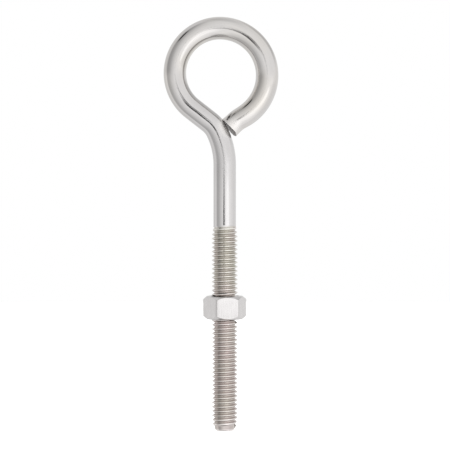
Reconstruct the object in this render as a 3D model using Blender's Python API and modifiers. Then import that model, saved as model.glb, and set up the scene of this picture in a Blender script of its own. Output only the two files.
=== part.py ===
"""Eye bolt: a rod bent into an open eye at one end and threaded at the other, with its hex nut.

Frame: metres, +Z along the rod from its threaded end towards the eye.
The origin is the centre of the rod's end face, and the eye lies in the XZ plane.
"""

import math

import bmesh
import bpy
from mathutils import Vector

MM = 0.001
INCH = 25.4 * MM

# Driving dimensions: a 3/8-16 UNC bent-rod eye bolt, 6 inches long.
OVERALL_LENGTH = 6.0 * INCH
ROD_RADIUS = 4.15 * MM
PITCH = INCH / 16.0
THREAD_MAJOR_RADIUS = 4.74 * MM
THREAD_MINOR_RADIUS = 3.77 * MM
THREAD_TURNS = 47
THREAD_START = 0.8 * MM
CREST_FLAT = PITCH / 8.0
END_FACE_RADIUS = 3.1 * MM
END_CHAMFER = 0.5 * MM
TAPER_RADIUS = 4.0 * MM
TAPER_SLOPE = 0.15
RUN_OUT_TURNS = 1.5

# Centreline above the straight shank: (radius, turn in degrees) for an arc, a length for a line.
# A positive turn leans the rod towards -X, and a negative one winds the eye clockwise.
NECK_BENDS = [(28.2 * MM, 25.6), (10.1 * MM, 26.4)]
LEG_LENGTH = 8.2 * MM
EYE_ARCS = [(14.7 * MM, -5.4), (16.6 * MM, -135.8), (17.4 * MM, -108.8), (17.7 * MM, -40.9)]
TAIL_RUN = 1.8 * MM
TAIL_BENDS = [(10.1 * MM, 14.0)]
TAIL_TIP = 2.5 * MM
CUT_HEADING = math.radians(-144.0)
CUT_TURN = math.radians(10.0)

# Hex nut, 9/16 inch across the flats, chamfered on both faces.
NUT_ACROSS_FLATS = 14.1 * MM
NUT_THICKNESS = 8.6 * MM
NUT_BASE_Z = 41.0 * MM
NUT_TURN = math.radians(-21.3)
NUT_FACE_RADIUS = 6.5 * MM
NUT_SHOULDER_RADIUS = 7.4 * MM
NUT_SHOULDER_DEPTH = 0.7 * MM
NUT_CHAMFER_DEPTH = 1.5 * MM
COUNTERSINK_RADIUS = 5.2 * MM
NUT_MINOR_RADIUS = 3.98 * MM
RADIAL_CLEARANCE = 0.14 * MM
FLANK_CLEARANCE = 0.11 * MM

# The nut's round bearing face is a thin slice of the nut, parted from the hexagon by a hairline.
FACE_SLICE = 0.3 * MM
FACE_GAP = 0.1 * MM
FACE_BORE_RADIUS = 4.95 * MM

SIDES = 20
TURNED_SIDES = 60
BEND_STEP = 8.0
FLANK_SLOPE = math.tan(math.radians(30.0))
MERGE_DISTANCE = 0.001 * MM
CUTTER_MARGIN = 0.5 * MM

ROD_COLOUR = (0.72, 0.71, 0.69)
NUT_COLOUR = (0.78, 0.77, 0.75)


def clear_scene():
    for item in list(bpy.data.objects):
        bpy.data.objects.remove(item, do_unlink=True)


def new_collection(name):
    collection = bpy.data.collections.new(name)
    bpy.context.scene.collection.children.link(collection)
    return collection


def metal(name, colour, roughness):
    material = bpy.data.materials.new(name)
    material.use_nodes = True
    shader = material.node_tree.nodes["Principled BSDF"]
    shader.inputs["Base Color"].default_value = (*colour, 1.0)
    shader.inputs["Metallic"].default_value = 1.0
    shader.inputs["Roughness"].default_value = roughness
    return material


def add_object(name, bm, collection, material=None):
    """Make an object from a bmesh whose faces all point out, and free the bmesh."""
    bmesh.ops.recalc_face_normals(bm, faces=bm.faces)
    mesh = bpy.data.meshes.new(name)
    bm.to_mesh(mesh)
    bm.free()
    mesh.shade_smooth()
    mesh.set_sharp_from_angle(angle=math.radians(35.0))
    if material:
        mesh.materials.append(material)
    item = bpy.data.objects.new(name, mesh)
    collection.objects.link(item)
    return item


def add_boolean(item, operation, cutter):
    modifier = item.modifiers.new(operation.title(), "BOOLEAN")
    modifier.operation = operation
    modifier.solver = "EXACT"
    modifier.object = cutter
    cutter.hide_render = True
    cutter.display_type = "WIRE"


def flat_ring(bm, radius, z):
    """A level ring of vertices around the Z axis."""
    ring = []
    for side in range(SIDES):
        angle = math.tau * side / SIDES
        ring.append(bm.verts.new((radius * math.cos(angle), radius * math.sin(angle), z)))
    return ring


def bridge_rings(bm, lower, upper):
    for side in range(SIDES):
        after = (side + 1) % SIDES
        bm.faces.new((lower[side], lower[after], upper[after], upper[side]))


def blend(low, high, amount):
    return low + (high - low) * min(1.0, max(0.0, amount))


def rod_thread_radius(radius, travel, z):
    """The rod's thread grows in over its first turn, tapers near the end and fades at the shank."""
    grown = blend(THREAD_MINOR_RADIUS, radius, travel)
    tapered = min(grown, TAPER_RADIUS + TAPER_SLOPE * z)
    return blend(ROD_RADIUS, tapered, (THREAD_TURNS - travel) / RUN_OUT_TURNS)


def nut_thread_radius(radius, travel, z):
    """The nut's thread opens into a 45-degree countersink at each face."""
    depth = min(z - NUT_BASE_Z, NUT_BASE_Z + NUT_THICKNESS - z)
    return max(radius, COUNTERSINK_RADIUS - max(0.0, depth))


def thread_rows(bm, start, turns, minor, major, crest_flat, final_radius):
    """Columns of vertices up a right-hand thread: four for each pitch, rising with the angle.

    Roots are centred at start, crests half a pitch above, and final_radius shapes the ends.
    Column 0 has one group of four more than the others, where the helix closes on itself.
    """
    half_root = (PITCH - crest_flat) / 2.0 - (major - minor) * FLANK_SLOPE
    profile = [
        (-half_root, minor),
        (half_root, minor),
        ((PITCH - crest_flat) / 2.0, major),
        ((PITCH + crest_flat) / 2.0, major),
    ]
    columns = []
    for side in range(SIDES):
        angle = math.tau * side / SIDES
        column = []
        for turn in range(turns + (side == 0)):
            for rise, radius in profile:
                travel = turn + side / SIDES + rise / PITCH
                z = start + travel * PITCH
                shaped = final_radius(radius, travel, z)
                column.append(bm.verts.new((shaped * math.cos(angle), shaped * math.sin(angle), z)))
        columns.append(column)
    return columns


def skin_thread(bm, lower, columns, upper):
    """Close the surface between a ring below the thread, the thread's columns and a ring above."""
    group = 4
    for side in range(SIDES):
        after = (side + 1) % SIDES
        left = columns[side]
        right = columns[after]
        below = []
        above = []
        if side == 0:
            above = left[-group:]
            left = left[:-group]
        if after == 0:
            below = right[:group]
            right = right[group:]
        bm.faces.new([lower[side], lower[after], *below, right[0], left[0]])
        for row in range(len(left) - 1):
            bm.faces.new((left[row], right[row], right[row + 1], left[row + 1]))
        bm.faces.new([left[-1], right[-1], upper[after], upper[side], *reversed(above)])


class Route:
    """Walks a centreline in the XZ plane and records a (point, heading) at each section."""

    def __init__(self, x, z, heading):
        self.x = x
        self.z = z
        self.heading = heading
        self.sections = [(Vector((x, 0.0, z)), heading)]

    def record(self):
        self.sections.append((Vector((self.x, 0.0, self.z)), self.heading))

    def line(self, length):
        self.x += length * math.cos(self.heading)
        self.z += length * math.sin(self.heading)
        self.record()

    def arc(self, radius, turn):
        """Turn by so many degrees on a radius, in small steps along the chords."""
        steps = math.ceil(abs(turn) / BEND_STEP)
        step = math.radians(turn) / steps
        chord = 2.0 * radius * math.sin(abs(step) / 2.0)
        for _ in range(steps):
            self.x += chord * math.cos(self.heading + step / 2.0)
            self.z += chord * math.sin(self.heading + step / 2.0)
            self.heading += step
            self.record()


def bent_route():
    """The rod's centreline from the start of the neck, at z = 0, to the cut end."""
    route = Route(0.0, 0.0, math.pi / 2.0)
    for radius, turn in NECK_BENDS:
        route.arc(radius, turn)
    route.line(LEG_LENGTH)
    for radius, turn in EYE_ARCS:
        route.arc(radius, turn)
    route.line(TAIL_RUN)
    for radius, turn in TAIL_BENDS:
        route.arc(radius, turn)
    route.line(TAIL_TIP)
    return route.sections


def section_ring(bm, centre, heading, cut_normal=None):
    """A ring square to the centreline, or sheared along it onto a plane through its centre."""
    along = Vector((math.cos(heading), 0.0, math.sin(heading)))
    outward = Vector((math.sin(heading), 0.0, -math.cos(heading)))
    sideways = Vector((0.0, 1.0, 0.0))
    ring = []
    for side in range(SIDES):
        angle = math.tau * side / SIDES
        offset = ROD_RADIUS * (math.cos(angle) * outward + math.sin(angle) * sideways)
        if cut_normal:
            offset -= along * (offset.dot(cut_normal) / along.dot(cut_normal))
        ring.append(bm.verts.new(centre + offset))
    return ring


def build_eye_rod(collection):
    """One closed solid: chamfered end, rolled thread, plain shank, neck, open eye and tail."""
    bm = bmesh.new()
    end = flat_ring(bm, END_FACE_RADIUS, 0.0)
    bm.faces.new(list(reversed(end)))
    chamfer = flat_ring(bm, END_FACE_RADIUS + END_CHAMFER, END_CHAMFER)
    bridge_rings(bm, end, chamfer)
    columns = thread_rows(bm, THREAD_START, THREAD_TURNS, THREAD_MINOR_RADIUS,
                          THREAD_MAJOR_RADIUS, CREST_FLAT, rod_thread_radius)
    last = flat_ring(bm, ROD_RADIUS, THREAD_START + (THREAD_TURNS + 1) * PITCH)
    skin_thread(bm, chamfer, columns, last)

    sections = bent_route()
    highest = max(centre.z for centre, _ in sections) + ROD_RADIUS
    neck = Vector((0.0, 0.0, OVERALL_LENGTH - highest))
    cut_normal = Vector((
        math.cos(CUT_HEADING) * math.cos(CUT_TURN),
        -math.sin(CUT_TURN),
        math.sin(CUT_HEADING) * math.cos(CUT_TURN),
    ))
    for number, (centre, heading) in enumerate(sections):
        is_cut = number == len(sections) - 1
        ring = section_ring(bm, neck + centre, heading, cut_normal if is_cut else None)
        bridge_rings(bm, last, ring)
        last = ring
    bm.faces.new(last)
    return add_object("eye_rod", bm, collection, metal("drawn_stainless", ROD_COLOUR, 0.25))


def build_cutter_cylinder(name, radius, low, high, collection):
    bm = bmesh.new()
    bmesh.ops.create_cone(bm, cap_ends=True, segments=TURNED_SIDES, radius1=radius, radius2=radius,
                          depth=high - low)
    bmesh.ops.translate(bm, verts=bm.verts, vec=(0.0, 0.0, (low + high) / 2.0))
    return add_object(name, bm, collection)


def build_nut_blank(collection):
    """The turned outline that chamfers the nut's corners, both faces alike."""
    corner_radius = NUT_ACROSS_FLATS / math.sqrt(3.0) + CUTTER_MARGIN
    half = [
        (0.0, 0.0),
        (NUT_FACE_RADIUS, 0.0),
        (NUT_SHOULDER_RADIUS, NUT_SHOULDER_DEPTH),
        (corner_radius, NUT_CHAMFER_DEPTH),
    ]
    outline = [(radius, NUT_THICKNESS - depth) for radius, depth in half]
    outline += [(radius, depth) for radius, depth in reversed(half)]
    mesh = bpy.data.meshes.new("nut_blank")
    points = [(radius, 0.0, NUT_BASE_Z + height) for radius, height in outline]
    mesh.from_pydata(points, [(index, index + 1) for index in range(len(points) - 1)], [])
    blank = bpy.data.objects.new("nut_blank", mesh)
    collection.objects.link(blank)
    screw = blank.modifiers.new("Screw", "SCREW")
    screw.steps = TURNED_SIDES
    screw.render_steps = TURNED_SIDES
    screw.use_merge_vertices = True
    screw.merge_threshold = MERGE_DISTANCE
    return blank


def build_thread_tap(collection):
    """The space inside the nut: the rod's thread, enlarged all round for a running clearance."""
    major = THREAD_MAJOR_RADIUS + RADIAL_CLEARANCE
    crest_flat = CREST_FLAT + 2.0 * (FLANK_CLEARANCE - RADIAL_CLEARANCE * FLANK_SLOPE)
    turns_below = math.floor((NUT_BASE_Z - THREAD_START) / PITCH) - 1
    start = THREAD_START + turns_below * PITCH
    turns = math.ceil((NUT_BASE_Z + NUT_THICKNESS - start) / PITCH) + 1
    bm = bmesh.new()
    columns = thread_rows(bm, start, turns, NUT_MINOR_RADIUS, major, crest_flat, nut_thread_radius)
    bottom = flat_ring(bm, COUNTERSINK_RADIUS, start - PITCH)
    top = flat_ring(bm, COUNTERSINK_RADIUS, start + (turns + 1) * PITCH)
    bm.faces.new(list(reversed(bottom)))
    skin_thread(bm, bottom, columns, top)
    bm.faces.new(top)
    return add_object("thread_tap", bm, collection)


def build_hex_nut(parts, cutters, blank, material):
    """The hexagon, chamfered at its corners and tapped; its own axis is the rod's."""
    height = NUT_THICKNESS - FACE_SLICE - FACE_GAP
    corner_radius = NUT_ACROSS_FLATS / math.sqrt(3.0)
    bm = bmesh.new()
    bmesh.ops.create_cone(bm, cap_ends=True, segments=6, radius1=corner_radius,
                          radius2=corner_radius, depth=height)
    bmesh.ops.translate(bm, verts=bm.verts, vec=(0.0, 0.0, height / 2.0))
    nut = add_object("hex_nut", bm, parts, material)
    nut.location = (0.0, 0.0, NUT_BASE_Z)
    nut.rotation_euler = (0.0, 0.0, NUT_TURN)
    add_boolean(nut, "INTERSECT", blank)
    add_boolean(nut, "DIFFERENCE", build_thread_tap(cutters))
    return nut


def build_bearing_face(parts, cutters, blank, material):
    """The nut's upper face, round inside its chamfer, as a thin washer-shaped slice."""
    top = NUT_BASE_Z + NUT_THICKNESS
    bm = bmesh.new()
    bmesh.ops.create_cone(bm, cap_ends=True, segments=TURNED_SIDES, radius1=NUT_ACROSS_FLATS,
                          radius2=NUT_ACROSS_FLATS, depth=FACE_SLICE + CUTTER_MARGIN)
    bmesh.ops.translate(bm, verts=bm.verts, vec=(0.0, 0.0, (CUTTER_MARGIN - FACE_SLICE) / 2.0))
    face = add_object("nut_bearing_face", bm, parts, material)
    face.location = (0.0, 0.0, top)
    bore = build_cutter_cylinder("face_bore", FACE_BORE_RADIUS, top - NUT_THICKNESS / 2.0,
                                 top + CUTTER_MARGIN * 2.0, cutters)
    add_boolean(face, "INTERSECT", blank)
    add_boolean(face, "DIFFERENCE", bore)
    return face


def main():
    clear_scene()
    parts = new_collection("eye_bolt")
    cutters = new_collection("cutters")
    nut_metal = metal("bright_nut", NUT_COLOUR, 0.3)
    build_eye_rod(parts)
    blank = build_nut_blank(cutters)
    build_hex_nut(parts, cutters, blank, nut_metal)
    build_bearing_face(parts, cutters, blank, nut_metal)


main()
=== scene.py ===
import math

import bmesh
import bpy
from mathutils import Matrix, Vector, noise


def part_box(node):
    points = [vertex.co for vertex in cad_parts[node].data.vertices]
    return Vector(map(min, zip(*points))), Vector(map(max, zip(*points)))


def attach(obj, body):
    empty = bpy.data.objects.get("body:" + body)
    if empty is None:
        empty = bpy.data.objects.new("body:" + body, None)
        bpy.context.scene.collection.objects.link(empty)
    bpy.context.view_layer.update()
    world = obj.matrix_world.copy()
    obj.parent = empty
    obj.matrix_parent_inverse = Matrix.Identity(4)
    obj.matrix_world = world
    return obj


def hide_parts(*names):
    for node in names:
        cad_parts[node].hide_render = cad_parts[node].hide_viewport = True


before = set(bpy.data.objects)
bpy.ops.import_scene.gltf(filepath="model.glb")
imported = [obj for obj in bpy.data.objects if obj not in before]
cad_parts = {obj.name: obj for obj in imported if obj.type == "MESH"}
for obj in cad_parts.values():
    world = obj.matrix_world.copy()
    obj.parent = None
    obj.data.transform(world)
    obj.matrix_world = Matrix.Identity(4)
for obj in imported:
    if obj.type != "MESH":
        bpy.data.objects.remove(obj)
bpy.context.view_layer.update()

ROD_LOW, ROD_HIGH = [Vector(corner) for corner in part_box("eye_rod")]
NUT_LOW = Vector(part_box("hex_nut")[0])
NUT_HIGH = Vector(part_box("nut_bearing_face")[1])

MM = 0.001
TAU = math.tau

# The rod and its rolled thread. A share is of one pitch; a run-out is in turns of the thread.
ROD_RADIUS = 4.15 * MM
PITCH = 25.4 * MM / 16.0
THREAD_MAJOR_RADIUS = 4.74 * MM
THREAD_MINOR_RADIUS = 3.77 * MM
THREAD_CREST_SHARE = 0.22
THREAD_ROOT_SHARE = 0.18
THREAD_ROUNDING = 0.08
THREAD_START = 0.8 * MM
THREAD_TURNS = 47
RUN_OUT_GROOVE = 0.75
RUN_OUT_CREST = 2.2
TAPER_RADIUS = 4.0 * MM
TAPER_SLOPE = 0.15

# The rod's blunt end: its dished face, with (share of the radius, share of the dish) for each ring
# around the middle, and the rounded chamfer beside it.
END_FACE_RADIUS = 3.1 * MM
END_DISH = 0.12 * MM
END_RINGS = [(0.35, 0.8), (0.7, 0.3), (0.93, 0.0)]
END_CHAMFER = 0.5 * MM
END_CHAMFER_SHARES = (0.08, 0.35, 0.7, 1.0)
END_CHAMFER_CURVE = 1.3

# The centreline above the shank: (radius, turn in degrees) for a bend, a length for a straight.
NECK_BENDS = [(28.2 * MM, 25.6), (10.1 * MM, 26.4)]
LEG_LENGTH = 8.2 * MM
EYE_ARCS = [(14.7 * MM, -5.4), (16.6 * MM, -135.8), (17.4 * MM, -108.8), (17.7 * MM, -40.9)]
TAIL_RUN = 1.8 * MM
TAIL_BENDS = [(10.1 * MM, 14.0)]
TAIL_TIP = 2.5 * MM

# The sheared cut: the way it faces, the break at its edge, how uneven it is and its rings.
CUT_HEADING = math.radians(-144.0)
CUT_TURN = math.radians(10.0)
CUT_EDGE = 0.12 * MM
CUT_ROUGHNESS = 0.06 * MM
CUT_ROUGH_SCALE = 0.7 * MM
CUT_RING_SHARES = (0.97, 0.93, 0.8, 0.6, 0.4, 0.2)

# Marks near the cut: (distance from the cut, angle around the bar, reach, depth, darkness). The
# depth is a real dent; the darkness is a painted dark reflection streak.
# Angle 0 is the side the eye closes on; the first mark is the edge that the shear dragged over.
DENTS_AND_PAINTED_STREAKS = [
    (0.0 * MM, math.radians(0.0), 2.0 * MM, -0.26 * MM, 0.0),
    (2.4 * MM, math.radians(318.0), 0.62 * MM, 0.16 * MM, 1.3),
    (3.4 * MM, math.radians(323.0), 0.45 * MM, 0.1 * MM, 0.7),
    (1.35 * MM, math.radians(314.0), 0.4 * MM, 0.1 * MM, 1.1),
]
# A painted dark reflection, a grey line painted along the inside of the eye: distance from the cut
# and reach along the bar, angle around it and reach, darkness.
PAINTED_RIM_LINE = (70.0 * MM, 17.0 * MM, math.radians(325.0), 0.55 * MM, 0.42)
# The bar is drawn a little thinner towards the cut.
TAIL_SLIMMING = 0.3 * MM
TAIL_SLIM_REACH = 6.0 * MM
# Spots on the front of the neck: the middle, and the distances between which it fades. The first is
# rougher and painted lighter, a painted highlight over the neck's reflection of the dark cut; the
# second is only rougher.
SCUFF_HIGHLIGHT_PLACE = (1.6 * MM, -2.0 * MM, 112.0 * MM)
SCUFF_HIGHLIGHT_REACH = (2.0 * MM, 5.5 * MM)
RUBBED_PLACE = (0.5 * MM, -4.0 * MM, 100.0 * MM)
RUBBED_REACH = (5.0 * MM, 11.0 * MM)
# Heights, measured along the bar, between which its colour changes.
STRAW_RISE = (112.0 * MM, 150.0 * MM)
PINK_FALL = (44.0 * MM, 62.0 * MM)

# The nut. The shoulder and the chamfer are (radius, depth below the face).
ACROSS_FLATS = 14.1 * MM
NUT_CORNER_ANGLE = math.radians(8.7)
NUT_CORNER_FILLET = 0.7 * MM
NUT_EDGE_EASE = 0.08 * MM
NUT_FACE_RADIUS = 6.5 * MM
NUT_SHOULDER = (7.4 * MM, 0.7 * MM)
NUT_CHAMFER = (8.25 * MM, 1.5 * MM)
NUT_FLAT_START = NUT_CHAMFER[1] + 4.0 * NUT_EDGE_EASE
COUNTERSINK_RADIUS = 5.4 * MM
NUT_MINOR_RADIUS = 3.98 * MM
NUT_MAJOR_RADIUS = 4.88 * MM
NUT_CREST_SHARE = 0.12
NUT_ROOT_SHARE = 0.2
NUT_TURNING_PITCH = 0.14 * MM
# Painted shade on the collar of the top face where the thread comes out: its middle, its reach over
# the face, and the radii between which it ends.
COLLAR_SHADE_PLACE = (-1.0 * MM, -6.7 * MM, NUT_HIGH.z)
COLLAR_SHADE_REACH = (2.8 * MM, 5.2 * MM)
COLLAR_SHADE_RADII = (6.6 * MM, 7.05 * MM)

# Mesh fineness: bends step in degrees. Creases sharper than these angles stay sharp.
ROD_SIDES = 96
BEND_STEP = 2.5
LINE_STEP = 1.0 * MM
TAIL_BEND_STEP = 1.2
TAIL_LINE_STEP = 0.2 * MM
NUT_FLAT_POINTS = 12
NUT_CORNER_POINTS = 5
ROD_CREASE = 50.0
NUT_CREASE = 28.0

# Material slots of the rod, and of the nut.
DRAWN, ROLLED, SHEARED = range(3)
BRIGHT, BORE = range(2)

# Camera, floor and light.
SENSOR_WIDTH = 36.0
CAMERA_DISTANCE = 0.55
CAMERA_REACH = 50.0
VIEW_HEIGHT = 165.87 * MM
VIEW_CENTRE_X = 0.11 * MM
VIEW_CENTRE_Z = 75.69 * MM
FLOOR_DROP = 30.0 * MM
FLOOR_RADIUS = 1.5
PAPER_GREY = 0.9
PAPER_ROUGHNESS = 0.9
OVERHEAD_WATTS = 110.0
OVERHEAD_SIZE = 4.0
OVERHEAD_HEIGHT = 2.5
# Soft discs that only reflections see: (x, distance, z), radius, flattening, tilt, level, waist.
# A waist narrows a disc to a bow tie, with its knot at the middle of the eye's reflection:
# (distance of the knot along the disc, slopes between which it fades). Within CARD_CORE of its
# radius a disc is solid.
CARDS = {
    "lens": ((-64.0 * MM, 550.0 * MM, 74.0 * MM), 100.0 * MM, 0.36, 0.0, 0.02, None),
    "strap": ((-20.7 * MM, 550.0 * MM, 161.4 * MM), 118.0 * MM, 0.6, math.radians(49.0), 0.02,
              (30.0 * MM, 0.22, 0.46)),
    "lamp": ((155.0 * MM, 250.0 * MM, 62.0 * MM), 135.0 * MM, 0.48, 0.0, 1.55, None),
}
CARD_CORE = 0.6
# The tent's patches: (azimuth band, elevation band, gain). A band starts, is full, stays full and
# ends at these angles in degrees.
TENT_LEVEL = 1.0
EVERYWHERE = (-400.0, -300.0, 300.0, 400.0)
TENT_PATCHES = {
    "reflector": ((-28.0, -8.0, 50.0, 85.0), (-75.0, -52.0, -4.0, 10.0), 1.18),
    "hot_spot": ((-4.0, 8.0, 24.0, 60.0), (-52.0, -26.0, -12.0, -2.0), 1.26),
    "front_wall": ((-20.0, 8.0, 80.0, 112.0), (-6.0, 0.0, 22.0, 60.0), 1.1),
    "left_opening": ((-98.0, -84.0, -74.0, -20.0), (-80.0, -60.0, 60.0, 82.0), 0.6),
    "left_upper": ((-128.0, -95.0, -45.0, 0.0), (0.0, 9.0, 52.0, 75.0), 0.78),
    "left_corner": ((-86.0, -78.0, -67.0, -58.0), (38.0, 43.0, 51.0, 57.0), 0.02),
    "left_back": ((-400.0, -300.0, -130.0, -100.0), EVERYWHERE, 0.86),
    "right_back": ((142.0, 165.0, 300.0, 400.0), EVERYWHERE, 0.88),
    "right_corner": ((92.0, 115.0, 140.0, 168.0), (12.0, 27.0, 50.0, 68.0), 0.7),
    "below": (EVERYWHERE, (-400.0, -300.0, -80.0, -68.0), 0.45),
    "above": (EVERYWHERE, (58.0, 82.0, 300.0, 400.0), 0.8),
}


# ---------------------------------------------------------------- meshes

class Skin:
    """A bmesh whose vertices keep three more values for the materials.

    grain is the place in the straight bar, depth is how deep in a thread, and the third value is
    how dark the bar is painted, for painted dark reflection streaks.
    """

    def __init__(self):
        self.bm = bmesh.new()
        self.grain = self.bm.verts.layers.float_vector.new("grain")
        self.depth = self.bm.verts.layers.float.new("depth")
        self.painted_dark = self.bm.verts.layers.float.new("painted_dark")

    def vertex(self, place, grain, depth=0.0, painted_dark=0.0):
        vertex = self.bm.verts.new(place)
        vertex[self.grain] = grain
        vertex[self.depth] = depth
        vertex[self.painted_dark] = painted_dark
        return vertex

    def level_ring(self, angles, radius, z):
        """A ring around the Z axis."""
        places = [(radius * math.cos(angle), radius * math.sin(angle), z) for angle in angles]
        return [self.vertex(place, place) for place in places]

    def face(self, vertices, material=0):
        face = self.bm.faces.new(vertices)
        face.material_index = material
        face.smooth = True

    def bridge(self, lower, upper, material=0):
        for side in range(len(lower)):
            after = (side + 1) % len(lower)
            self.face((lower[side], lower[after], upper[after], upper[side]), material)

    def loft(self, rings, material=0):
        for lower, upper in zip(rings, rings[1:]):
            self.bridge(lower, upper, material)

    def cap(self, ring, centre, material=0):
        for side in range(len(ring)):
            self.face((ring[side], ring[(side + 1) % len(ring)], centre), material)

    def finish(self, name, materials, sharp_degrees):
        mesh = bpy.data.meshes.new(name)
        self.bm.to_mesh(mesh)
        self.bm.free()
        mesh.set_sharp_from_angle(angle=math.radians(sharp_degrees))
        for material in materials:
            mesh.materials.append(material)
        piece = bpy.data.objects.new(name, mesh)
        bpy.context.scene.collection.objects.link(piece)
        return piece


def blend(low, high, amount):
    return low + (high - low) * min(1.0, max(0.0, amount))


def wobble(place, scale):
    """Smooth noise from -1 to 1 whose features are about one scale across."""
    return noise.noise(Vector(place) / scale)


def thread_profile(minor, major, crest_share, root_share):
    """(share of a pitch, radius) from one root to the next, with a rounded root and crest."""
    height = major - minor
    rounding = THREAD_ROUNDING * height
    foot = root_share / 2.0
    brow = 0.5 - crest_share / 2.0
    rising = [
        (foot * 0.5, minor),
        (foot * 1.1, minor + rounding),
        (blend(foot, brow, 0.5), minor + 0.5 * height),
        (brow, major - rounding),
        (blend(brow, 0.5, 0.3), major),
    ]
    falling = [(1.0 - share, radius) for share, radius in reversed(rising)]
    return rising + falling


def thread_columns(skin, angles, start, turns, profile, final_radius):
    """Columns of vertices up a right-hand thread; column 0 has one more turn, to close on."""
    lowest = min(radius for _, radius in profile)
    highest = max(radius for _, radius in profile)
    columns = []
    for number, angle in enumerate(angles):
        column = []
        for turn in range(turns + (number == 0)):
            for share, radius in profile:
                travel = turn + angle / TAU + share
                z = start + travel * PITCH
                shaped = final_radius(radius, travel, z)
                place = (shaped * math.cos(angle), shaped * math.sin(angle), z)
                depth = (highest - radius) / (highest - lowest)
                column.append(skin.vertex(place, place, depth))
        columns.append(column)
    return columns


def skin_thread(skin, lower, columns, upper, group, material, last, inward=False):
    """Close the surface between a ring below the thread, its columns and a ring above.

    A group is one pitch of rows. The last group of loops has a material of its own.
    """
    for side in range(len(columns)):
        after = (side + 1) % len(columns)
        left = columns[side]
        right = columns[after]
        below = []
        above = []
        if side == 0:
            above = left[-group:]
            left = left[:-group]
        if after == 0:
            below = right[:group]
            right = right[group:]
        loops = [[lower[side], lower[after], *below, right[0], left[0]]]
        for row in range(len(left) - 1):
            loops.append([left[row], right[row], right[row + 1], left[row + 1]])
        loops.append([left[-1], right[-1], upper[after], upper[side], *reversed(above)])
        for number, loop in enumerate(loops):
            ending = number >= len(loops) - group
            skin.face(loop[::-1] if inward else loop, last if ending else material)


# ---------------------------------------------------------------- the bent rod

class Route:
    """Walks the rod's centreline in the XZ plane.

    Each section is (x, z, heading, length so far).
    """

    def __init__(self):
        self.x = 0.0
        self.z = 0.0
        self.heading = math.pi / 2.0
        self.length = 0.0
        self.sections = [(self.x, self.z, self.heading, self.length)]

    def step(self, distance, turn):
        self.x += distance * math.cos(self.heading + turn / 2.0)
        self.z += distance * math.sin(self.heading + turn / 2.0)
        self.heading += turn
        self.length += distance
        self.sections.append((self.x, self.z, self.heading, self.length))

    def line(self, length, longest=LINE_STEP):
        steps = math.ceil(length / longest)
        for _ in range(steps):
            self.step(length / steps, 0.0)

    def arc(self, radius, degrees, widest=BEND_STEP):
        steps = math.ceil(abs(degrees) / widest)
        turn = math.radians(degrees) / steps
        for _ in range(steps):
            self.step(2.0 * radius * math.sin(abs(turn) / 2.0), turn)


def bent_sections():
    """The centreline's sections from the shank to the cut end; the eye's top is at full height."""
    route = Route()
    for radius, degrees in NECK_BENDS:
        route.arc(radius, degrees)
    route.line(LEG_LENGTH)
    for radius, degrees in EYE_ARCS:
        route.arc(radius, degrees)
    route.line(TAIL_RUN)
    for radius, degrees in TAIL_BENDS:
        route.arc(radius, degrees, TAIL_BEND_STEP)
    route.line(TAIL_TIP, TAIL_LINE_STEP)
    highest = max(section[1] for section in route.sections) + ROD_RADIUS
    rise = ROD_HIGH.z - highest
    return [(x, z + rise, heading, length + rise) for x, z, heading, length in route.sections]


def rod_thread_radius(radius, travel, z):
    """The thread grows in over a turn, tapers near the end and fades out at the shank.

    At the shank the groove ends within a turn, and the crest sinks over a little more than two.
    """
    grown = blend(THREAD_MINOR_RADIUS, radius, travel)
    tapered = min(grown, TAPER_RADIUS + TAPER_SLOPE * z)
    fade = RUN_OUT_GROOVE if tapered < ROD_RADIUS else RUN_OUT_CREST
    return blend(ROD_RADIUS, tapered, (THREAD_TURNS - travel) / fade)


def pressed(along, angle):
    """How far the bar is pressed in, and how dark that place is painted as a painted dark
    reflection, by its distance from the cut.
    """
    depth = TAIL_SLIMMING * math.exp(-(along / TAIL_SLIM_REACH) ** 2)
    darkness = 0.0
    for mark_along, mark_angle, reach, deepest, dark in DENTS_AND_PAINTED_STREAKS:
        around = ROD_RADIUS * math.remainder(angle - mark_angle, TAU)
        shape = math.exp(-((along - mark_along) ** 2 + around ** 2) / reach ** 2)
        depth += deepest * shape
        darkness += dark * shape
    # Painted dark reflection: a dark line painted along the inside of the eye.
    rim_line_along, rim_line_length, rim_line_angle, rim_line_reach, rim_line_dark = PAINTED_RIM_LINE
    around = ROD_RADIUS * math.remainder(angle - rim_line_angle, TAU)
    fading = ((along - rim_line_along) / rim_line_length) ** 2 + (around / rim_line_reach) ** 2
    darkness += rim_line_dark * math.exp(-fading)
    return depth, min(1.0, darkness)


def section_ring(skin, section, bar_length, share=1.0, cut_normal=None, lift=0.0):
    """A ring square to the centreline, or sheared along it onto the plane of the cut."""
    x, z, heading, along = section
    centre = Vector((x, 0.0, z))
    forward = Vector((math.cos(heading), 0.0, math.sin(heading)))
    outward = Vector((math.sin(heading), 0.0, -math.cos(heading)))
    sideways = Vector((0.0, 1.0, 0.0))
    ring = []
    for side in range(ROD_SIDES):
        angle = TAU * side / ROD_SIDES
        depth, darkness = pressed(bar_length - along, angle)
        spoke = math.cos(angle) * outward + math.sin(angle) * sideways
        radius = (ROD_RADIUS - depth) * share
        offset = radius * spoke
        if cut_normal:
            offset -= forward * (offset.dot(cut_normal) / forward.dot(cut_normal))
            rough = wobble(centre + offset, CUT_ROUGH_SCALE) * CUT_ROUGHNESS
            offset += forward * (lift + rough * (share < 1.0))
        grain = (radius * math.cos(angle), radius * math.sin(angle), along + offset.dot(forward))
        ring.append(skin.vertex(centre + offset, grain, 0.0, darkness))
    return ring


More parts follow.
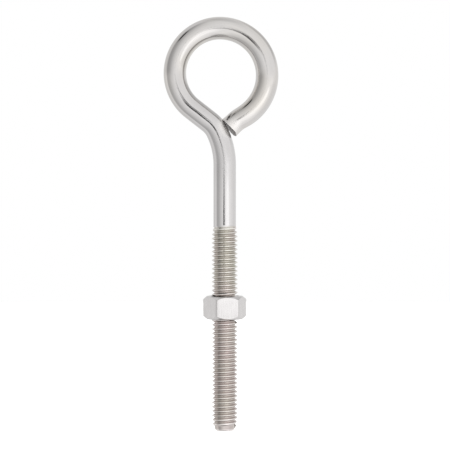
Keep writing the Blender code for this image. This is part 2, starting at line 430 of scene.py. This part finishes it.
def build_rod(drawn, rolled, sheared):
    """The whole bar: blunt end, rolled thread, shank, neck, eye and the sheared tail."""
    skin = Skin()
    angles = [TAU * side / ROD_SIDES for side in range(ROD_SIDES)]
    face = []
    for share, dish in END_RINGS:
        face.append(skin.level_ring(angles, END_FACE_RADIUS * share, 0.0))
        for vertex in face[-1]:
            vertex.co.z = END_DISH * dish
    centre = skin.vertex((0.0, 0.0, END_DISH), (0.0, 0.0, 0.0))
    skin.cap(list(reversed(face[0])), centre, SHEARED)
    skin.loft(face, SHEARED)
    chamfer = [face[-1]]
    for share in END_CHAMFER_SHARES:
        chamfer.append(skin.level_ring(angles, END_FACE_RADIUS + END_CHAMFER * share,
                                       END_CHAMFER * share ** END_CHAMFER_CURVE))
    skin.loft(chamfer, ROLLED)

    profile = thread_profile(THREAD_MINOR_RADIUS, THREAD_MAJOR_RADIUS,
                             THREAD_CREST_SHARE, THREAD_ROOT_SHARE)
    columns = thread_columns(skin, angles, THREAD_START, THREAD_TURNS, profile, rod_thread_radius)
    shank = skin.level_ring(angles, ROD_RADIUS, THREAD_START + (THREAD_TURNS + 1) * PITCH)
    skin_thread(skin, chamfer[-1], columns, shank, len(profile), ROLLED, DRAWN)

    sections = bent_sections()
    bar_length = sections[-1][3]
    cut_normal = Vector((
        math.cos(CUT_HEADING) * math.cos(CUT_TURN),
        -math.sin(CUT_TURN),
        math.sin(CUT_HEADING) * math.cos(CUT_TURN),
    ))
    rings = [shank] + [section_ring(skin, section, bar_length) for section in sections[:-1]]
    end = sections[-1]
    rings.append(section_ring(skin, end, bar_length, 1.0, cut_normal, -CUT_EDGE))
    skin.loft(rings, DRAWN)
    cut = [rings[-1]]
    for share in CUT_RING_SHARES:
        cut.append(section_ring(skin, end, bar_length, share, cut_normal))
    skin.loft(cut, SHEARED)
    skin.cap(cut[-1], skin.vertex((end[0], 0.0, end[1]), (0.0, 0.0, end[3])), SHEARED)
    return skin.finish("bent_rod", [drawn, rolled, sheared], ROD_CREASE)


# ---------------------------------------------------------------- the nut

def hexagon_outline():
    """(angle, radius) around the nut from angle 0, with filleted corners."""
    corner_radius = ACROSS_FLATS / math.sqrt(3.0)
    fillet_centre = corner_radius - NUT_CORNER_FILLET / math.cos(math.pi / 6.0)
    outline = []
    for corner in range(6):
        theta = NUT_CORNER_ANGLE + corner * TAU / 6.0
        middle = Vector((math.cos(theta), math.sin(theta))) * fillet_centre
        arc = []
        for point in range(NUT_CORNER_POINTS):
            swing = theta + (point / (NUT_CORNER_POINTS - 1) - 0.5) * TAU / 6.0
            arc.append(middle + Vector((math.cos(swing), math.sin(swing))) * NUT_CORNER_FILLET)
        turn = theta + TAU / 6.0
        after = Vector((math.cos(turn), math.sin(turn))) * fillet_centre
        swing = theta + TAU / 12.0
        start = arc[-1]
        finish = after + Vector((math.cos(swing), math.sin(swing))) * NUT_CORNER_FILLET
        flat = [start.lerp(finish, step / NUT_FLAT_POINTS) for step in range(1, NUT_FLAT_POINTS)]
        outline += [(math.atan2(y, x) % TAU, math.hypot(x, y)) for x, y in arc + flat]
    return sorted(outline)


def chamfer_depth(radius):
    """How far below the nut's face the turned chamfer reaches a radius."""
    (shoulder, shoulder_depth), (edge, edge_depth) = NUT_SHOULDER, NUT_CHAMFER
    if radius < shoulder:
        return shoulder_depth * (radius - NUT_FACE_RADIUS) / (shoulder - NUT_FACE_RADIUS)
    return blend(shoulder_depth, edge_depth, (radius - shoulder) / (edge - shoulder))


def chamfer_radius(depth):
    """The radius at which the turned chamfer is this far below the nut's face."""
    (shoulder, shoulder_depth), (edge, edge_depth) = NUT_SHOULDER, NUT_CHAMFER
    if depth < shoulder_depth:
        return blend(NUT_FACE_RADIUS, shoulder, depth / shoulder_depth)
    return blend(shoulder, edge, (depth - shoulder_depth) / (edge_depth - shoulder_depth))


def half_column(flat_radius):
    """(radius, depth) from the countersink over one face and its chamfer, onto the flat."""
    foot = chamfer_depth(flat_radius)
    ease = NUT_EDGE_EASE
    points = [(COUNTERSINK_RADIUS, ease), (COUNTERSINK_RADIUS + ease, 0.0)]
    points += [(blend(COUNTERSINK_RADIUS, NUT_FACE_RADIUS, share), 0.0) for share in (0.35, 0.65)]
    points += [(NUT_FACE_RADIUS - ease, 0.0)]
    points += [(chamfer_radius(depth), depth) for depth in (ease * 0.7, foot * 0.4, foot * 0.7)]
    points += [(chamfer_radius(foot - ease), foot - ease), (flat_radius - ease * 0.12, foot)]
    points += [(flat_radius, foot + ease), (flat_radius, NUT_FLAT_START)]
    return points


def build_nut(bright, bore_metal):
    """One solid nut: hexagon, turned chamfers on both faces, countersinks and its own thread."""
    skin = Skin()
    bottom = NUT_LOW.z
    top = NUT_HIGH.z
    outline = hexagon_outline()
    angles = [angle for angle, _ in outline]
    columns = []
    for angle, radius in outline:
        half = half_column(radius)
        upper = [(r, top - depth) for r, depth in half]
        lower = [(r, bottom + depth) for r, depth in reversed(half)]
        columns.append([(r * math.cos(angle), r * math.sin(angle), z) for r, z in upper + lower])
    rings = []
    for row in reversed(range(len(columns[0]))):
        rings.append([skin.vertex(column[row], column[row]) for column in columns])
    skin.loft(rings, BRIGHT)

    throat = NUT_MAJOR_RADIUS + NUT_EDGE_EASE
    mouth_depth = COUNTERSINK_RADIUS - throat + NUT_EDGE_EASE
    lower = skin.level_ring(angles, throat, bottom + mouth_depth)
    upper = skin.level_ring(angles, throat, top - mouth_depth)
    start = THREAD_START + math.ceil((lower[0].co.z - THREAD_START) / PITCH) * PITCH
    turns = math.floor((upper[0].co.z - start) / PITCH) - 1
    profile = thread_profile(NUT_MINOR_RADIUS, NUT_MAJOR_RADIUS, NUT_CREST_SHARE, NUT_ROOT_SHARE)

    def worn_in(radius, travel, _):
        """The thread grows out of the throat over its second turn, and ends over its last."""
        started = blend(throat, radius, travel - 1.0)
        return blend(throat, started, turns - travel)

    bore = thread_columns(skin, angles, start, turns, profile, worn_in)
    skin.bridge(lower, rings[0], BORE)
    skin_thread(skin, lower, bore, upper, len(profile), BORE, BORE, inward=True)
    skin.bridge(rings[-1], upper, BORE)
    return skin.finish("nut", [bright, bore_metal], NUT_CREASE)


# ---------------------------------------------------------------- materials

class Nodes:
    """Builds one node tree: node() adds a node, sets its sockets and wires what is already made."""

    def __init__(self, tree):
        self.tree = tree

    def node(self, kind, sockets=None, **settings):
        item = self.tree.nodes.new(kind)
        for key, value in settings.items():
            setattr(item, key, value)
        for key, value in (sockets or {}).items():
            if isinstance(value, bpy.types.NodeSocket):
                self.tree.links.new(value, item.inputs[key])
            else:
                item.inputs[key].default_value = value
        return item

    def stored(self, name):
        """A value that each vertex keeps."""
        return self.node("ShaderNodeAttribute", attribute_name=name).outputs["Fac"]

    def split(self, vector):
        return self.node("ShaderNodeSeparateXYZ", {"Vector": vector}).outputs

    def near(self, place, reach):
        """1 close to a place on the piece, falling smoothly to 0 between two distances."""
        here = self.node("ShaderNodeTexCoord").outputs["Object"]
        away = self.node("ShaderNodeVectorMath", {0: here, 1: place}, operation="DISTANCE")
        return self.remap(away.outputs["Value"], *reach, 1.0, 0.0, smooth=True)

    def math(self, operation, first, second=0.0, third=0.0):
        sockets = {0: first, 1: second, 2: third}
        return self.node("ShaderNodeMath", sockets, operation=operation).outputs[0]

    def remap(self, value, low, high, to_low, to_high, smooth=False):
        sockets = {0: value, 1: low, 2: high, 3: to_low, 4: to_high}
        style = "SMOOTHSTEP" if smooth else "LINEAR"
        return self.node("ShaderNodeMapRange", sockets, interpolation_type=style).outputs[0]

    def noise(self, vector, scale, stretch, detail=3.0):
        """Noise from 0 to 1 of so many features a metre, on a vector stretched along each axis."""
        shaped = self.node("ShaderNodeMapping", {"Vector": vector, "Scale": stretch})
        sockets = {"Vector": shaped.outputs[0], "Scale": scale, "Detail": detail}
        raw = self.node("ShaderNodeTexNoise", sockets).outputs["Fac"]
        return self.remap(raw, 0.3, 0.7, 0.0, 1.0)

    def mix(self, amount, first, second):
        """A blend of two colours; 0, 6 and 7 are the node's sockets for a colour."""
        sockets = {0: amount, 6: first, 7: second}
        return self.node("ShaderNodeMix", sockets, data_type="RGBA").outputs[2]


def new_metal(name):
    """A metallic Principled material, its nodes, its shader and the grain coordinate."""
    material = bpy.data.materials.new(name)
    material.use_nodes = True
    nodes = Nodes(material.node_tree)
    shader = material.node_tree.nodes["Principled BSDF"]
    shader.inputs["Metallic"].default_value = 1.0
    grain = nodes.node("ShaderNodeAttribute", attribute_name="grain").outputs["Vector"]
    return material, nodes, shader, grain


def finish_metal(material, nodes, shader, colour, roughness, height, distance):
    """Wire a metal's colour and roughness, and a bump this far from its lowest to its highest."""
    links = material.node_tree.links
    bump = nodes.node("ShaderNodeBump", {"Height": height, "Distance": distance})
    links.new(colour, shader.inputs["Base Color"])
    links.new(roughness, shader.inputs["Roughness"])
    links.new(bump.outputs["Normal"], shader.inputs["Normal"])
    return material


def drawn_stainless():
    """Polished drawn bar: fine draw lines, a straw-coloured eye, painted dark reflection streaks,
    and a neck spot that is rougher and painted lighter as a painted highlight.
    """
    material, nodes, shader, grain = new_metal("drawn_stainless")
    lines = nodes.noise(grain, 1.0, (5200.0, 5200.0, 60.0), 4.0)
    clouds = nodes.noise(grain, 220.0, (1.0, 1.0, 0.5), 3.0)
    rubs = nodes.noise(grain, 1.0, (900.0, 900.0, 160.0), 2.0)
    tint = nodes.noise(grain, 60.0, (2.0, 2.0, 1.0), 1.0)
    tone = nodes.math("MULTIPLY_ADD", clouds, 0.5, nodes.math("MULTIPLY", lines, 0.5))
    steel = nodes.mix(tone, (0.582, 0.571, 0.571, 1.0), (0.642, 0.631, 0.631, 1.0))
    straw = nodes.mix(tone, (0.6, 0.575, 0.545, 1.0), (0.66, 0.635, 0.6, 1.0))
    warm = nodes.remap(nodes.split(grain)[2], *STRAW_RISE, 0.0, 0.6, smooth=True)
    patchy = nodes.math("MULTIPLY", nodes.remap(tint, 0.2, 0.9, 0.4, 1.6), warm)
    clean = nodes.mix(patchy, steel, straw)
    # A spot on the neck that is rougher, and painted lighter as a painted highlight where the neck
    # reflects the dark cut.
    scuff_and_highlight = nodes.near(SCUFF_HIGHLIGHT_PLACE, SCUFF_HIGHLIGHT_REACH)
    cloudy = nodes.remap(clouds, 0.0, 1.0, 0.5, 1.0)
    rubbed = nodes.math("MULTIPLY", nodes.near(RUBBED_PLACE, RUBBED_REACH), cloudy)
    bright = nodes.mix(scuff_and_highlight, clean, (0.86, 0.84, 0.82, 1.0))
    # Painted dark reflections: the streaks near the cut and the line inside the eye are painted
    # near black.
    colour = nodes.mix(nodes.stored("painted_dark"), bright, (0.05, 0.045, 0.04, 1.0))
    polish = nodes.remap(nodes.math("ADD", lines, rubs), 0.0, 2.0, 0.045, 0.13)
    dulled = nodes.math("MULTIPLY_ADD", rubbed, 0.2, polish)
    roughness = nodes.math("MULTIPLY_ADD", scuff_and_highlight, 0.5, dulled)
    return finish_metal(material, nodes, shader, colour, roughness, lines, 0.001 * MM)


def rolled_thread():
    """Rolled thread: duller and warmer than the bar, pinker low down, darker down its flanks into
    the grooves.
    """
    material, nodes, shader, grain = new_metal("rolled_thread")
    depth = nodes.stored("depth")
    rings = nodes.noise(grain, 1.0, (420.0, 420.0, 7000.0), 3.0)
    stains = nodes.noise(grain, 260.0, (1.0, 1.0, 1.0), 4.0)
    # Darker down the flanks towards the roots, a little less at the very root, and patchy.
    flank = nodes.remap(depth, 0.02, 0.3, 0.0, 1.0, smooth=True)
    root = nodes.remap(depth, 0.75, 1.0, 1.0, 0.8, smooth=True)
    groove_darkening = nodes.math("MULTIPLY", flank, nodes.remap(stains, 0.0, 1.0, 0.75, 1.0))
    tint = nodes.noise(grain, 120.0, (1.0, 1.0, 1.0), 2.0)
    pinker = nodes.remap(nodes.split(grain)[2], *PINK_FALL, 0.4, 0.0, smooth=True)
    pink = nodes.math("MULTIPLY_ADD", tint, 0.6, pinker)
    clean = nodes.mix(pink, (0.75, 0.74, 0.685, 1.0), (0.765, 0.715, 0.71, 1.0))
    groove_colour = nodes.mix(pink, (0.535, 0.52, 0.47, 1.0), (0.535, 0.475, 0.46, 1.0))
    colour = nodes.mix(nodes.math("MULTIPLY", groove_darkening, root), clean, groove_colour)
    roughness = nodes.math("MULTIPLY_ADD", depth, 0.08, nodes.remap(rings, 0.0, 1.0, 0.08, 0.18))
    return finish_metal(material, nodes, shader, colour, roughness, rings, 0.002 * MM)


def sheared_metal():
    """The cropped ends of the bar: dark, torn and dull."""
    material, nodes, shader, grain = new_metal("sheared_metal")
    tears = nodes.noise(grain, 1.0, (2600.0, 700.0, 2600.0), 5.0)
    pits = nodes.noise(grain, 1800.0, (1.0, 1.0, 1.0), 4.0)
    colour = nodes.mix(tears, (0.2, 0.19, 0.185, 1.0), (0.36, 0.345, 0.34, 1.0))
    roughness = nodes.remap(pits, 0.0, 1.0, 0.32, 0.6)
    height = nodes.math("ADD", tears, pits)
    return finish_metal(material, nodes, shader, colour, roughness, height, 0.02 * MM)


def bright_nut():
    """Satin nut: finely ground flats, faint turning marks on its faces, painted shade on the collar
    by the thread.
    """
    material, nodes, shader, grain = new_metal("bright_nut")
    ground = nodes.noise(grain, 1.0, (3000.0, 3000.0, 120.0), 4.0)
    clouds = nodes.noise(grain, 320.0, (1.0, 1.0, 1.0), 3.0)
    x, y, _ = nodes.split(grain)
    squares = nodes.math("ADD", nodes.math("POWER", x, 2.0), nodes.math("POWER", y, 2.0))
    radius = nodes.math("SQRT", squares)
    turning = nodes.math("SINE", nodes.math("MULTIPLY", radius, TAU / NUT_TURNING_PITCH))
    height = nodes.math("MULTIPLY_ADD", turning, 0.12, ground)
    tone = nodes.math("MULTIPLY_ADD", clouds, 0.4, nodes.math("MULTIPLY", ground, 0.6))
    clean = nodes.mix(tone, (0.56, 0.545, 0.545, 1.0), (0.68, 0.668, 0.665, 1.0))
    # Painted shade: the front of the collar round the thread is painted near black, where the nut's
    # top shades the thread.
    collar = nodes.remap(radius, *COLLAR_SHADE_RADII, 1.0, 0.0, smooth=True)
    collar_shade = nodes.math("MULTIPLY", nodes.near(COLLAR_SHADE_PLACE, COLLAR_SHADE_REACH), collar)
    colour = nodes.mix(collar_shade, clean, (0.06, 0.055, 0.05, 1.0))
    roughness = nodes.remap(nodes.math("ADD", ground, clouds), 0.0, 2.0, 0.12, 0.26)
    return finish_metal(material, nodes, shader, colour, roughness, height, 0.002 * MM)


def nut_bore():
    """The nut's tapped bore and countersinks: unpolished, and painted dark as painted shade of the
    deep thread and countersink.
    """
    material, nodes, shader, grain = new_metal("nut_bore")
    smears = nodes.noise(grain, 900.0, (1.0, 1.0, 2.0), 3.0)
    # Painted shade: the bore and countersinks are painted near black.
    colour = nodes.mix(smears, (0.09, 0.083, 0.079, 1.0), (0.2, 0.19, 0.183, 1.0))
    roughness = nodes.remap(smears, 0.3, 0.7, 0.3, 0.5)
    return finish_metal(material, nodes, shader, colour, roughness, smears, 0.01 * MM)


# ---------------------------------------------------------------- studio

def card_light(name, radius, flattening, level, waist):
    """One brightness that fades to clear towards a disc's edge, and beyond its waist."""
    material = bpy.data.materials.new(name + "_light")
    material.use_nodes = True
    tree = material.node_tree
    tree.nodes.clear()
    nodes = Nodes(tree)
    place = nodes.node("ShaderNodeTexCoord").outputs["Object"]
    distance = nodes.node("ShaderNodeVectorMath", {0: place}, operation="LENGTH").outputs["Value"]
    clear = nodes.remap(distance, radius * CARD_CORE, radius, 0.0, 1.0, smooth=True)
    if waist:
        knot, narrow, wide = waist
        x, y, _ = nodes.split(place)
        slope = nodes.math("ABSOLUTE", nodes.math("DIVIDE", y, nodes.math("SUBTRACT", x, knot)))
        beyond = nodes.remap(slope, narrow / flattening, wide / flattening, 0.0, 1.0, smooth=True)
        clear = nodes.math("MAXIMUM", clear, beyond)
    light = nodes.node("ShaderNodeEmission", {"Strength": level})
    through = nodes.node("ShaderNodeBsdfTransparent")
    both = nodes.node("ShaderNodeMixShader", {0: clear, 1: light.outputs[0], 2: through.outputs[0]})
    nodes.node("ShaderNodeOutputMaterial", {"Surface": both.outputs[0]})
    return material


def add_card(name, place, radius, flattening, tilt, level, waist):
    """A disc square to the view, in front of the object, which only reflections see."""
    x, distance, z = place
    bpy.ops.mesh.primitive_circle_add(vertices=64, radius=radius, fill_type="NGON")
    card = bpy.context.object
    card.name = name
    card.location = (x, -distance, z)
    card.rotation_euler = (math.pi / 2.0, -tilt, 0.0)
    card.scale = (1.0, flattening, 1.0)
    card.visible_camera = False
    card.visible_diffuse = False
    card.visible_shadow = False
    card.data.materials.append(card_light(name, radius, flattening, level, waist))


def add_camera():
    """A long lens level with the middle of the bolt, looking along +Y."""
    data = bpy.data.cameras.new("camera")
    data.sensor_width = SENSOR_WIDTH
    data.lens = SENSOR_WIDTH * CAMERA_DISTANCE / VIEW_HEIGHT
    data.clip_end = CAMERA_REACH
    camera = bpy.data.objects.new("camera", data)
    bpy.context.scene.collection.objects.link(camera)
    target = Vector((VIEW_CENTRE_X, 0.0, VIEW_CENTRE_Z))
    camera.location = (VIEW_CENTRE_X, -CAMERA_DISTANCE, VIEW_CENTRE_Z)
    camera.rotation_euler = (target - camera.location).to_track_quat("-Z", "Y").to_euler()
    bpy.context.scene.camera = camera


def add_floor():
    """A plain sheet of pale paper, which reflections don't see."""
    bpy.ops.mesh.primitive_circle_add(vertices=128, radius=FLOOR_RADIUS, fill_type="NGON",
                                      location=(0.0, 0.0, ROD_LOW.z - FLOOR_DROP))
    floor = bpy.context.object
    floor.name = "floor"
    floor.visible_glossy = False
    paper = bpy.data.materials.new("white_paper")
    paper.use_nodes = True
    shader = paper.node_tree.nodes["Principled BSDF"]
    shader.inputs["Base Color"].default_value = (PAPER_GREY, PAPER_GREY, PAPER_GREY, 1.0)
    shader.inputs["Roughness"].default_value = PAPER_ROUGHNESS
    floor.data.materials.append(paper)


def add_overhead_light():
    """A large soft panel above, which only lights the floor."""
    data = bpy.data.lights.new("overhead", "AREA")
    data.shape = "DISK"
    data.size = OVERHEAD_SIZE
    data.energy = OVERHEAD_WATTS
    light = bpy.data.objects.new("overhead", data)
    bpy.context.scene.collection.objects.link(light)
    light.location = (0.0, 0.0, OVERHEAD_HEIGHT)
    light.visible_glossy = False


def band(nodes, angle, start, full, last, end):
    """1 inside a band of directions, falling smoothly to 0 on both sides of it."""
    rising = nodes.remap(angle, start, full, 0.0, 1.0, smooth=True)
    falling = nodes.remap(angle, last, end, 1.0, 0.0, smooth=True)
    return nodes.math("MULTIPLY", rising, falling)


def add_tent():
    """The light tent around the bolt: pale all round, a bright panel, and a few dark openings.

    Azimuth is 0 towards the camera and grows towards +X; elevation is 90 overhead.
    """
    world = bpy.data.worlds.new("light_tent")
    bpy.context.scene.world = world
    world.use_nodes = True
    tree = world.node_tree
    tree.nodes.clear()
    nodes = Nodes(tree)
    x, y, z = nodes.split(nodes.node("ShaderNodeTexCoord").outputs["Generated"])
    degree = 180.0 / math.pi
    backwards = nodes.math("MULTIPLY", y, -1.0)
    azimuth = nodes.math("MULTIPLY", nodes.math("ARCTAN2", x, backwards), degree)
    elevation = nodes.math("MULTIPLY", nodes.math("ARCSINE", z), degree)

    level = TENT_LEVEL
    for name, (across, up, gain) in TENT_PATCHES.items():
        mask = nodes.math("MULTIPLY", band(nodes, azimuth, *across), band(nodes, elevation, *up))
        factor = nodes.math("MULTIPLY_ADD", mask, gain - 1.0, 1.0)
        factor.node.label = name
        level = nodes.math("MULTIPLY", factor, level)
    tent = nodes.node("ShaderNodeBackground", {"Color": (1.0, 0.995, 0.99, 1.0), "Strength": level})
    white = nodes.node("ShaderNodeBackground", {"Color": (1.0, 1.0, 1.0, 1.0), "Strength": 1.0})
    seen = nodes.node("ShaderNodeLightPath").outputs["Is Camera Ray"]
    chosen = nodes.node("ShaderNodeMixShader", {0: seen, 1: tent.outputs[0], 2: white.outputs[0]})
    nodes.node("ShaderNodeOutputWorld", {"Surface": chosen.outputs[0]})


# ---------------------------------------------------------------- assembly

add_camera()
add_floor()
add_overhead_light()
for name, settings in CARDS.items():
    add_card(name, *settings)
add_tent()
bpy.context.scene.view_settings.view_transform = "Standard"

rod = build_rod(drawn_stainless(), rolled_thread(), sheared_metal())
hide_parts("eye_rod")
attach(rod, "rod")

nut = build_nut(bright_nut(), nut_bore())
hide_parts("hex_nut", "nut_bearing_face")
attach(nut, "nut")
